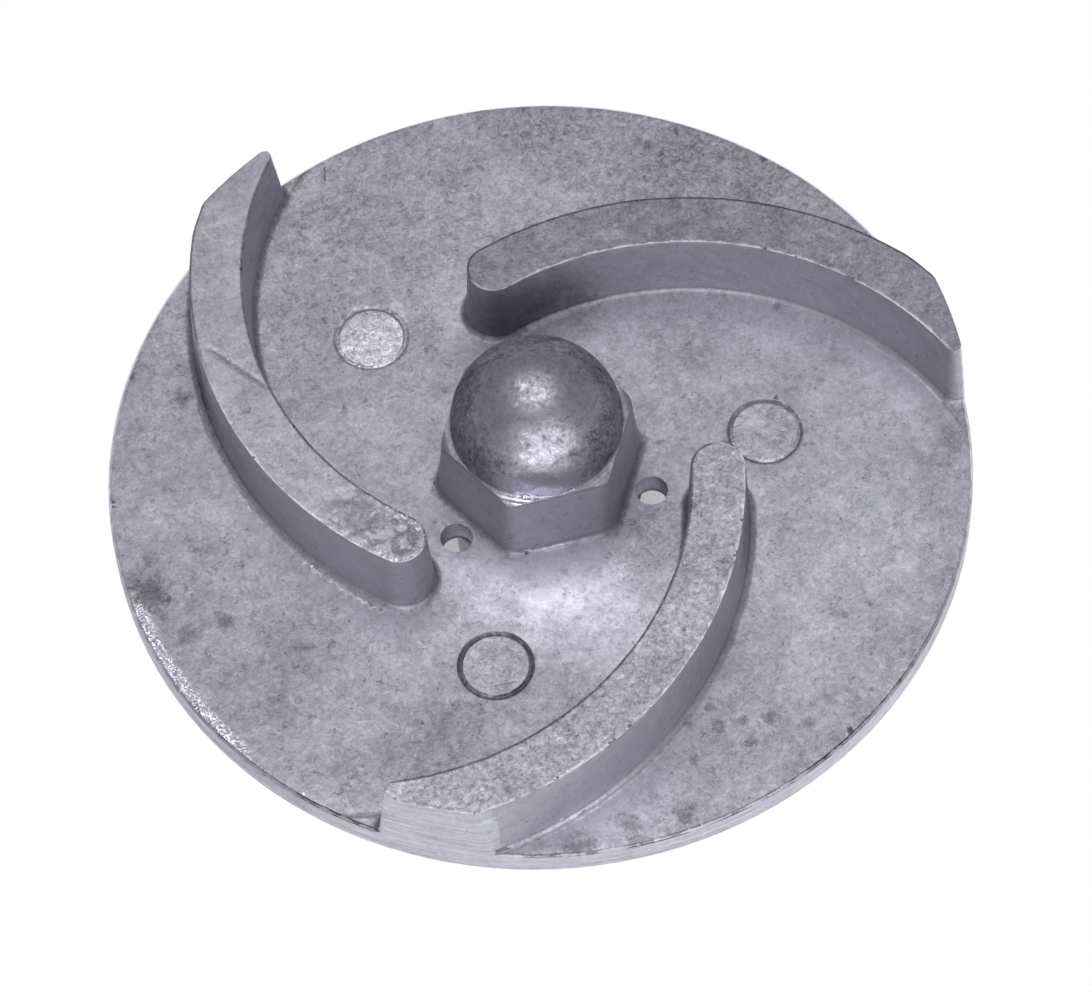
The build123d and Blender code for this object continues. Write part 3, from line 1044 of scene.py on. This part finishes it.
# %% Vane tops
vane_tops, tree, shader, where, bump_height = start_material("vane tops", 0.75, 0.030)
number = attribute(tree, "vane")
is_rough = sums(tree, "COMPARE", number, 2.0, 0.1)
is_battered = sums(tree, "COMPARE", number, 1.0, 0.1)
tones = place_group(tree, mottle, Vector=where, Clouds=1.0, Flecks=1.1)
coarse = grain(tree, where, 0.7, 2.0, 0.8, 0.6)
from_edge, _, run_node, offset_node = vane_distances(tree, where)
convex = ramp(tree, offset_node, -1.0 * MM, 1.0 * MM)
first_vane = sums(tree, "COMPARE", number, 0.0, 0.1)
# One side of each top edge gets rubbed wear that is also a painted highlight, the other a dark line of
# painted shade.
worn_and_lit_side = apart(tree, first_vane, convex)
edge_light = place_group(tree, rubbed, Vector=where, Distance=from_edge, Width=0.42 * MM, Amount=0.42)["Mask"]
fresh = times(tree, ramp(tree, run_node, 28 * MM, 44 * MM), is_battered)
worn_and_lit_side = times(tree, worn_and_lit_side, inverse(tree, fresh))
edge_light = times(tree, edge_light, worn_and_lit_side)
painted_shade_line = times(tree, ramp(tree, from_edge, 0.40 * MM, 0.18 * MM, 0.0, 1.0), inverse(tree, worn_and_lit_side))
nose = times(tree, ramp(tree, run_node, 14 * MM, 2 * MM), is_battered)
shiny = times(tree, nose, ramp(tree, grain(tree, where, 1.3, 3.0, 0.75, 0.8), 0.5, 0.62))
lines_a = mask_of(tree, scratches_steep, where, 0.42)
lines_b = mask_of(tree, scratches_slant, where, 0.40)
bright = times_plus(tree, most(tree, lines_a, lines_b), 0.3, times(tree, tones["Bright"], 0.6))
strokes_a = mask_of(tree, strokes_level, where, 0.5)
bright = most(tree, bright, times(tree, strokes_a, 0.42))
known = place_group(tree, single, Vector=where)
chips = times(tree, nose, ramp(tree, grain(tree, where, 0.6, 2.0, 0.7, 1.2), 0.56, 0.62, 0.0, 0.9))
chips = times(tree, chips, ramp(tree, from_edge, 2.2 * MM, 0.4 * MM, 0.15, 1.0))
bright = most(tree, bright, known["Bright"], chips)
rough_shade = times(tree, centred(tree, coarse), is_rough, 1.1)
shade = plus(tree, tones["Shade"], rough_shade)
bright = most(tree, bright, edge_light, times(tree, shiny, 0.4))
shade = times_plus(tree, first_vane, -0.22, shade)
shade = times_plus(tree, is_battered, 0.07, shade)
nose_dark = times(tree, nose, ramp(tree, grain(tree, where, 2.4, 2.0, 0.6, 0.6), 0.38, 0.50, 0.0, 0.80))
nose_dark = times(tree, nose_dark, ramp(tree, from_edge, 0.5 * MM, 1.3 * MM, 0.2, 1.0))
dark = most(tree, times(tree, tones["Dark"], 0.6), painted_shade_line, nose_dark)
dark = most(tree, dark, known["Dark"])
shade = times_plus(tree, chips, 0.5, shade)
finish_metal(tree, shader, 0.42, shade, bright, dark, 0.48)
roughened = times_plus(tree, is_rough, 1.2, times_plus(tree, nose, 1.3, 0.1))
feed(tree, bump_height, times_plus(tree, coarse, roughened, tones["Height"]))
print("vane tops", len(tree.nodes), "nodes")

# %% [markdown]
# ## The dome
# Spanners and hands have rubbed the dome, so it is smoother than the disc and
# shows the lamps as two soft lights. Patches of oxide break them up. Faint
# rings run round its foot from the spanner. Painted shade darkens its sides, and
# painted highlights brighten its crown and its lower front.

# %% Dome
dome, tree, shader, where, bump_height = start_material("dome", 0.76, 0.060)
tones = place_group(tree, mottle, Vector=where, Clouds=1.3, Flecks=2.2)
# Painted shade on the dome's sides, and painted highlights on its crown and lower front.
from_crown = distance_to(tree, where, -0.5, -2.8, 39.8)
painted_shade_weight = ramp(tree, split(tree, where)[1], 11 * MM, 7 * MM, 0.45, 1.0)
painted_dome_light_and_shade = times(tree, ramp(tree, from_crown, 6.8 * MM, 9.8 * MM, 0.04, -0.40), painted_shade_weight)
painted_dome_highlights = ((0.2, -2.4, 4.4, 0.16, 40.0), (-1.9, -10.9, 6.0, 1.50, 29.8), (-0.7, -8.1, 3.4, 0.10, 36.7))
highlight_ragged_noise = grain(tree, where, 2.4, 3.0, 0.65, 0.5)
painted_dome_light_and_shade = plus(tree, painted_dome_light_and_shade, patches_at(tree, where, painted_dome_highlights, highlight_ragged_noise, 0.9, 0.25, "ADD"))
rings = grain(tree, shift(tree, where, scale=(0.02, 0.02, 1.0)), 0.35, 2.0, 0.6)
low_down = ramp(tree, split(tree, where)[2], 33.5 * MM, 30.5 * MM)
ring_shade = times(tree, centred(tree, rings), low_down, 0.35)
patches = grain(tree, where, 1.9, 3.0, 0.62, 0.7)
oxide = ramp(tree, patches, 0.50, 0.66, 0.0, 0.30)
polish = ramp(tree, grain(tree, where, 3.6, 3.0, 0.6, 0.9), 0.35, 0.62)
ledge = times(tree, ramp(tree, split(tree, where)[2], 29.35 * MM, 29.2 * MM), 0.55)
bright = most(tree, times(tree, tones["Bright"], 0.5), ledge)
shade = plus(tree, tones["Shade"], ring_shade, times_plus(tree, polish, 0.18, painted_dome_light_and_shade))
finish_metal(tree, shader, 0.305, shade, bright, oxide, 0.475)
feed(tree, bump_height, times_plus(tree, patches, 0.55, times(tree, tones["Height"], 0.25)))
print("dome", len(tree.nodes), "nodes")

# %% [markdown]
# ## The turned rim
# A lathe leaves fine lines round the rim and across the vanes' ends, and a
# lighter, cleaner metal. The lines are noise that changes only with height, with
# a little slow change around the wheel so that they don't look printed. The left
# of the rim gets painted shade, and its chamfer painted light at the back and
# painted shade at the front.

# %% Turning lines and the rim
turning, at, out = new_group(
    "turning lines", [("Vector", VECTOR, None)], [("Shade", NUMBER), ("Height", NUMBER)]
)
drawn = shift(turning, at["Vector"], scale=(0.03, 0.03, 1.0))
coarse_lines = grain(turning, drawn, 0.55, 2.0, 0.8)
fine_lines = grain(turning, shift(turning, drawn, move=(0.1, 0.2, 0.3)), 0.16, 1.0, 0.5)
both = times_plus(turning, fine_lines, 0.6, times(turning, coarse_lines, 0.8))
feed(turning, out["Shade"], minus(turning, both, 0.7))
feed(turning, out["Height"], both)

rim, tree, shader, where, bump_height = start_material("turned rim", 0.9, 0.014)
lines = place_group(tree, turning, Vector=where)
tones = place_group(tree, mottle, Vector=where, Clouds=0.6, Flecks=0.5)
shade = times_plus(tree, lines["Shade"], 1.0, tones["Shade"])
band_top = apart(tree, split(tree, where)[2], 17.55 * MM)
burr = place_group(tree, rubbed, Vector=where, Distance=band_top, Width=0.25 * MM, Amount=0.4)["Mask"]
bright = most(tree, times(tree, tones["Bright"], 0.5), times(tree, burr, 0.8))
tilted = ramp(tree, split(tree, tree.nodes["Texture Coordinate"].outputs["Normal"])[2], 0.25, 0.5)
# Painted shade on the left of the rim.
painted_west_shade = ramp(tree, split(tree, where)[0], -20 * MM, -45 * MM, 0.0, -0.16)
shade = plus(tree, shade, painted_west_shade)
# Painted light on the chamfer at the back and painted shade on it at the front.
painted_chamfer_light_and_shade = ramp(tree, split(tree, where)[1], -20 * MM, -42 * MM, 0.30, -0.62)
shade = times_plus(tree, painted_chamfer_light_and_shade, tilted, shade)
finish_metal(tree, shader, 0.53, shade, bright, times(tree, tones["Dark"], 0.4), 0.42)
feed(tree, bump_height, lines["Height"])
print("turned rim", len(tree.nodes), "nodes")

# %% [markdown]
# ## Ejector pads
# The pins that push the casting out of the die leave three round pads, each in a
# vee groove. The pin's end was ground, so a pad is brighter than the skin round
# it and carries fine grinding lines. The groove is painted darker, as shade.

# %% Ejector pads
pad_metal, tree, shader, where, bump_height = start_material("ejector pads", 0.88, 0.016)
first_pad = ramp(tree, split(tree, where)[1], 10 * MM, 20 * MM)
tones = place_group(tree, mottle, Vector=where, Clouds=1.1, Flecks=times_plus(tree, first_pad, 2.2, 1.1))
lines_a = mask_of(tree, scratches_slant, where, 0.75)
lines_b = mask_of(tree, scratches_across, where, 0.6)
# Painted shade, darker where the groove lies low.
painted_groove_shade = ramp(tree, split(tree, where)[2], 17.65 * MM, 17.4 * MM, 0.0, 0.30)
rings = place_group(tree, pin_rings, Vector=where)
painted_groove_shade = most(tree, painted_groove_shade, rings["Dark"])
bright = times_plus(tree, most(tree, lines_a, lines_b), 0.4, times(tree, tones["Bright"], 0.8))
bright = most(tree, times_plus(tree, first_pad, 0.50, bright), times(tree, rings["Bright"], 0.7))
pale_cuts = mask_of(tree, strokes_cross, where, 0.9)
dark_cuts = mask_of(tree, scratches_steep, where, 0.8)
dark = most(tree, painted_groove_shade, times(tree, tones["Dark"], 0.5), times(tree, dark_cuts, 0.5))
shade = times_plus(
    tree, times(tree, pale_cuts, first_pad), 0.5, times_plus(tree, first_pad, 0.08, tones["Shade"])
)
finish_metal(tree, shader, 0.44, shade, bright, dark, 0.46)
feed(tree, bump_height, tones["Height"])
print("ejector pads", len(tree.nodes), "nodes")

# %% [markdown]
# ## Drilled holes and the back
# The balance holes and the bore are cut metal with rings from the drill. From
# the disc's underside up, the drilled walls are painted darker as shade, darkest
# near the underside. The back is the skin as cast, a little duller, and the
# hub's end is faced on the lathe, so its lines run round the shaft axis.

# %% Drilled
drilled, tree, shader, where, bump_height = start_material("drilled", 0.9, 0.012)
lines = place_group(tree, turning, Vector=where)
tones = place_group(tree, mottle, Vector=where, Clouds=0.6, Flecks=0.5)
shade = times_plus(tree, lines["Shade"], 0.5, tones["Shade"])
lip = times(
    tree, ramp(tree, split(tree, where)[2], 17.45 * MM, 17.7 * MM),
    ramp(tree, grain(tree, where, 1.2), 0.42, 0.55)
)
bright = most(tree, times(tree, tones["Bright"], 0.3), times(tree, lip, 0.7))
# Painted shade on the drilled walls above the disc's underside, darkest near it.
in_disc = ramp(tree, split(tree, where)[2], 13.9 * MM, 14.1 * MM)
painted_hole_shade = ramp(tree, split(tree, where)[2], 14.9 * MM, 14.4 * MM, 0.28, 0.9)
dark = most(tree, tones["Dark"], times(tree, painted_hole_shade, in_disc))
finish_metal(tree, shader, 0.42, shade, bright, dark, 0.42)
feed(tree, bump_height, lines["Height"])
print("drilled", len(tree.nodes), "nodes")

# %% Back
back, tree, shader, where, bump_height = start_material("back", 0.85, 0.024)
tones = place_group(tree, mottle, Vector=where, Clouds=1.1, Flecks=1.0)
east, north, high = split(tree, where)
reach_node = hypotenuse(tree, east, north)
faced = ramp(tree, high, 0.9 * MM, 0.5 * MM)
ring_place = tree.nodes.new("ShaderNodeCombineXYZ")
feed(tree, ring_place.inputs[2], reach_node)
face_lines = place_group(tree, turning, Vector=ring_place.outputs[0])
shade = times_plus(tree, times(tree, face_lines["Shade"], faced), 0.8, tones["Shade"])
bright = times_plus(tree, faced, 0.15, times(tree, tones["Bright"], 0.5))
finish_metal(tree, shader, 0.42, shade, bright, times(tree, tones["Dark"], 0.6), 0.5)
feed(tree, bump_height, times_plus(tree, times(tree, face_lines["Height"], faced), 0.6, tones["Height"]))
print("back", len(tree.nodes), "nodes")

# %% Put the skin on the frame
impeller = add_object("impeller_casting", skin_mesh)
for material in (cast_face, vane_tops, dome, rim, pad_metal, drilled, back):
    skin_mesh.materials.append(material)
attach(impeller, "root")
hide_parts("impeller")
print("impeller", len(skin_mesh.polygons), "triangles")

# %% [markdown]
# ## The thread in the bore
# The shaft screws into the hub, so the bore carries a fine thread. A thread is
# one ridge that follows a helix, which is what Geometry Nodes does well: a
# spiral curve, and a profile swept along it. The skin of the bore was moved
# back earlier by the depth of the thread, so the crests lie on the solid
# model's wall. The result is turned into a plain mesh for the frame.

# %% Geometry tools
def new_geometry_tree(name, numbers):
    """A geometry tree with named number inputs and a material input."""
    tree = bpy.data.node_groups.new(name, "GeometryNodeTree")
    for label, kind, value in numbers:
        socket = tree.interface.new_socket(label, in_out="INPUT", socket_type=kind)
        socket.default_value = value
    tree.interface.new_socket("Material", in_out="INPUT", socket_type="NodeSocketMaterial")
    tree.interface.new_socket("Geometry", in_out="OUTPUT", socket_type="NodeSocketGeometry")
    return tree, tree.nodes.new("NodeGroupInput").outputs, tree.nodes.new("NodeGroupOutput").inputs


def geometry_node(tree, kind, **values):
    """A geometry node with its inputs fed by name; gives back the node."""
    node = tree.nodes.new(kind)
    for label, value in values.items():
        feed(tree, node.inputs[label.replace("_", " ")], value)
    return node


def finish_tree(tree, geometry, given, result):
    """End a geometry tree in Realize Instances and Set Material."""
    real = geometry_node(tree, "GeometryNodeRealizeInstances", Geometry=geometry)
    painted = geometry_node(
        tree, "GeometryNodeSetMaterial", Geometry=real.outputs[0], Material=given["Material"]
    )
    tree.links.new(painted.outputs[0], result[0])


def mesh_from_tree(name, tree, material):
    """The plain mesh object that a geometry tree makes."""
    carrier = add_object(name + " carrier", bpy.data.meshes.new(name + " carrier"))
    modifier = carrier.modifiers.new("tree", "NODES")
    modifier.node_group = tree
    for item in tree.interface.items_tree:
        if item.name == "Material":
            modifier[item.identifier] = material
    made = bpy.data.meshes.new_from_object(carrier.evaluated_get(bpy.context.evaluated_depsgraph_get()))
    bpy.data.objects.remove(carrier)
    piece = add_object(name, made)
    shell = bmesh.new()
    shell.from_mesh(made)
    bmesh.ops.remove_doubles(shell, verts=shell.verts, dist=1e-7)
    bmesh.ops.recalc_face_normals(shell, faces=shell.faces)
    shell.to_mesh(made)
    shell.free()
    return piece


print("geometry trees so far", len(bpy.data.node_groups))

# %% Thread
thread_tree, given, result = new_geometry_tree(
    "internal thread",
    [("Wall Radius", NUMBER, 8.12 * MM), ("Pitch", NUMBER, 1.5 * MM), ("Turns", NUMBER, 15.0),
     ("Start", NUMBER, 2.1 * MM)],
)
rise = times(thread_tree, given["Pitch"], given["Turns"])
helix = geometry_node(
    thread_tree, "GeometryNodeCurveSpiral", Resolution=48, Rotations=given["Turns"],
    Start_Radius=given["Wall Radius"], End_Radius=given["Wall Radius"], Height=rise,
)
lift = thread_tree.nodes.new("ShaderNodeCombineXYZ")
feed(thread_tree, lift.inputs[2], given["Start"])
raised = geometry_node(
    thread_tree, "GeometryNodeTransform", Geometry=helix.outputs[0], Translation=lift.outputs[0]
)
level_normals = geometry_node(thread_tree, "GeometryNodeSetCurveNormal", Curve=raised.outputs[0])
level_normals.mode = "Z_UP"
profile = thread_tree.nodes.new("GeometryNodeCurvePrimitiveQuadrilateral")
profile.mode = "POINTS"
for label, (x, y) in zip(
    ("Point 1", "Point 2", "Point 3", "Point 4"), ((0, 0.66), (0, -0.66), (0.87, -0.13), (0.87, 0.13))
):
    profile.inputs[label].default_value = (x * MM, y * MM, 0)
swept = geometry_node(
    thread_tree, "GeometryNodeCurveToMesh", Curve=level_normals.outputs[0], Profile_Curve=profile.outputs[0]
)
swept.inputs["Fill Caps"].default_value = True
finish_tree(thread_tree, swept.outputs[0], given, result)
thread = mesh_from_tree("bore_thread", thread_tree, drilled)
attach(thread, "root")
thread_reach = [v.co.xy.length / MM for v in thread.data.vertices]
print(
    "thread", len(thread.data.polygons), "faces, radius", round(min(thread_reach), 2), "to",
    round(max(thread_reach), 2)
)

# %% [markdown]
# ## Burrs on the rim
# Where the tool left the rim's front edge, specks of metal stand on it, thick
# along one side. They are tiny flattened stones placed along an arc with random
# sizes and turns, from a fixed seed.

# %% Burrs
burr_tree, given, result = new_geometry_tree(
    "rim burrs",
    [("Radius", NUMBER, 55.0 * MM), ("First Angle", NUMBER, math.radians(188)),
     ("Sweep", NUMBER, math.radians(21)), ("Count", "NodeSocketInt", 220), ("Seed", "NodeSocketInt", 4)],
)
arc = geometry_node(
    burr_tree, "GeometryNodeCurveArc", Resolution=64, Radius=given["Radius"],
    Start_Angle=given["First Angle"], Sweep_Angle=given["Sweep"],
)
stops = geometry_node(burr_tree, "GeometryNodeCurveToPoints", Curve=arc.outputs[0], Count=given["Count"])


def random_vector(low, high, step):
    """A random vector for each point between two vectors in millimetres."""
    node = burr_tree.nodes.new("FunctionNodeRandomValue")
    node.data_type = "FLOAT_VECTOR"
    node.inputs[0].default_value = low
    node.inputs[1].default_value = high
    feed(burr_tree, node.inputs["Seed"], plus(burr_tree, given["Seed"], step))
    return node.outputs[0]


scatter = random_vector(
    (-0.6 * MM, -0.6 * MM, (disc_top - 0.02) * MM), (0.6 * MM, 0.6 * MM, (disc_top + 0.05) * MM), 0
)
moved = geometry_node(burr_tree, "GeometryNodeSetPosition", Geometry=stops.outputs["Points"], Offset=scatter)
stone = geometry_node(burr_tree, "GeometryNodeMeshIcoSphere", Radius=1.0, Subdivisions=1)
sizes = random_vector((0.08 * MM, 0.05 * MM, 0.03 * MM), (0.34 * MM, 0.12 * MM, 0.12 * MM), 1)
turns = random_vector((-0.3, -0.3, 0.0), (0.3, 0.3, 6.28), 2)
placed = geometry_node(
    burr_tree, "GeometryNodeInstanceOnPoints", Points=moved.outputs[0], Instance=stone.outputs[0],
    Scale=sizes, Rotation=turns
)
finish_tree(burr_tree, placed.outputs[0], given, result)
burr_metal, tree, shader, where, bump_height = start_material("burr metal", 0.85, 0.010)
tones = place_group(tree, mottle, Vector=where, Clouds=0.5, Flecks=0.8)
finish_metal(tree, shader, 0.85, tones["Shade"], 0.0, 0.0, 0.38)
feed(tree, bump_height, tones["Height"])
burrs = mesh_from_tree("rim_burrs", burr_tree, burr_metal)
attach(burrs, "root")
print("burrs", len(burrs.data.polygons), "faces")

# %% [markdown]
# ## Light and floor
# Bare metal is lit by what it mirrors. A large soft lamp overhead gives the
# upper light on the dome and the sheen of the disc, a second one in front gives
# the lower light on the dome, and the plain grey room fills in the rest. The
# floor is white to the camera and to the metal, and darkens only where the
# wheel shades it from most of the room; that shadow is painted, by darkening
# the floor's glow with ambient occlusion.

# %% Light
world = bpy.data.worlds.new("room")
bpy.context.scene.world = world
world.use_nodes = True
world.node_tree.nodes["Background"].inputs["Color"].default_value = (1.0, 1.0, 1.0, 1.0)
world.node_tree.nodes["Background"].inputs["Strength"].default_value = 0.22


def soft_lamp(name, azimuth, elevation, distance, width, depth_of_lamp, power):
    """A soft square lamp aimed at the wheel; azimuth 0 is behind it and 180 in front."""
    data = bpy.data.lights.new(name, "AREA")
    data.shape = "RECTANGLE"
    data.size = width
    data.size_y = depth_of_lamp
    data.energy = power
    lamp = add_object(name, data)
    a, e = math.radians(azimuth), math.radians(elevation)
    direction = Vector((math.sin(a) * math.cos(e), math.cos(a) * math.cos(e), math.sin(e)))
    lamp.location = Vector((0, 0, 20 * MM)) + direction * distance
    lamp.rotation_euler = (-direction).to_track_quat("-Z", "Y").to_euler()
    return lamp


soft_lamp("overhead", 0, 80, 1.2, 0.9, 0.9, 4.8)
soft_lamp("front", 180, 25, 1.2, 1.7, 1.0, 12.5)
print("lamps", [light.name for light in bpy.data.lights])

# %% Floor
floor_mesh = bpy.data.meshes.new("floor")
floor_ring = bmesh.new()
bmesh.ops.create_circle(floor_ring, cap_ends=True, segments=64, radius=12.0)
floor_ring.to_mesh(floor_mesh)
floor_ring.free()
floor = add_object("floor", floor_mesh)
white = bpy.data.materials.new("white floor")
white.use_nodes = True
tree = white.node_tree
tree.nodes.clear()
surface = tree.nodes.new("ShaderNodeOutputMaterial")
paper = tree.nodes.new("ShaderNodeBsdfDiffuse")
paper.inputs["Color"].default_value = (0.5, 0.5, 0.5, 1.0)
glow = tree.nodes.new("ShaderNodeEmission")
shelter = tree.nodes.new("ShaderNodeAmbientOcclusion")
shelter.samples = 16
shelter.inputs["Distance"].default_value = 60 * MM
# Painted shadow: the glow is darkened where ambient occlusion finds the wheel close.
open_sky = ramp(tree, shelter.outputs["AO"], 0.0, 0.20)
feed(tree, glow.inputs["Color"], tint(tree, open_sky, (0.26, 0.257, 0.30, 1.0), (1.0, 1.0, 1.0, 1.0)))
seen = tree.nodes.new("ShaderNodeLightPath")
shown = most(tree, seen.outputs["Is Camera Ray"], seen.outputs["Is Glossy Ray"])
shown = most(tree, shown, seen.outputs["Is Transmission Ray"])
lit = tree.nodes.new("ShaderNodeMixShader")
feed(tree, lit.inputs[0], shown)
tree.links.new(paper.outputs[0], lit.inputs[1])
tree.links.new(glow.outputs[0], lit.inputs[2])
clear = tree.nodes.new("ShaderNodeBsdfTransparent")
side = tree.nodes.new("ShaderNodeNewGeometry")
one_sided = tree.nodes.new("ShaderNodeMixShader")
tree.links.new(side.outputs["Backfacing"], one_sided.inputs[0])
tree.links.new(lit.outputs[0], one_sided.inputs[1])
tree.links.new(clear.outputs[0], one_sided.inputs[2])
tree.links.new(one_sided.outputs[0], surface.inputs["Surface"])
floor_mesh.materials.append(white)
floor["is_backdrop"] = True
print("floor", len(tree.nodes), "nodes")

# %% Compare the size with the solid model and finish
visual_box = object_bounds()
sizes = {"solid": [list(corner) for corner in solid_box], "visual": [list(corner) for corner in visual_box]}
print("solid", sizes["solid"], "visual", sizes["visual"])
